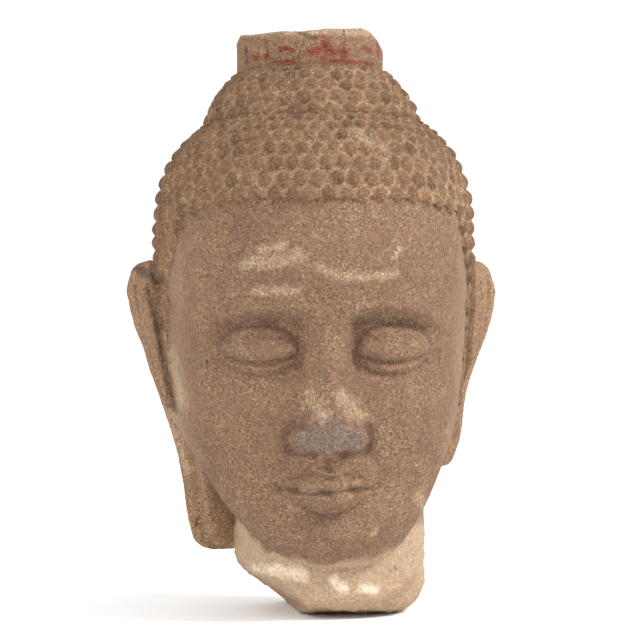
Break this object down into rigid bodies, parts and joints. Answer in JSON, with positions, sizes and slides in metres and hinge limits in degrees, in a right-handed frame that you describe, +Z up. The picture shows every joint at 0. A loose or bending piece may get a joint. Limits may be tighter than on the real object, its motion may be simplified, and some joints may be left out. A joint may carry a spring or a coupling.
{
  "type": "buddha_head",
  "caption": "Worn sandstone buddha head with snail-curl hair, low ushnisha, long ears and a broken neck.",
  "frame": {"origin": "middle of the head's box in plan, at the height of its broken underside", "axes": "+Z up through the ushnisha, the face looks along -Y, +X to the viewer's right"},
  "size_m": [0.2452, 0.2358, 0.38],
  "materials": {
    "sandstone": "worn and grainy, with dust in the hair, pale scrapes and traces of red lacquer"
  },
  "bodies": {
    "root": {"stone_buddha_head": "sandstone"}
  },
  "joints": []
}
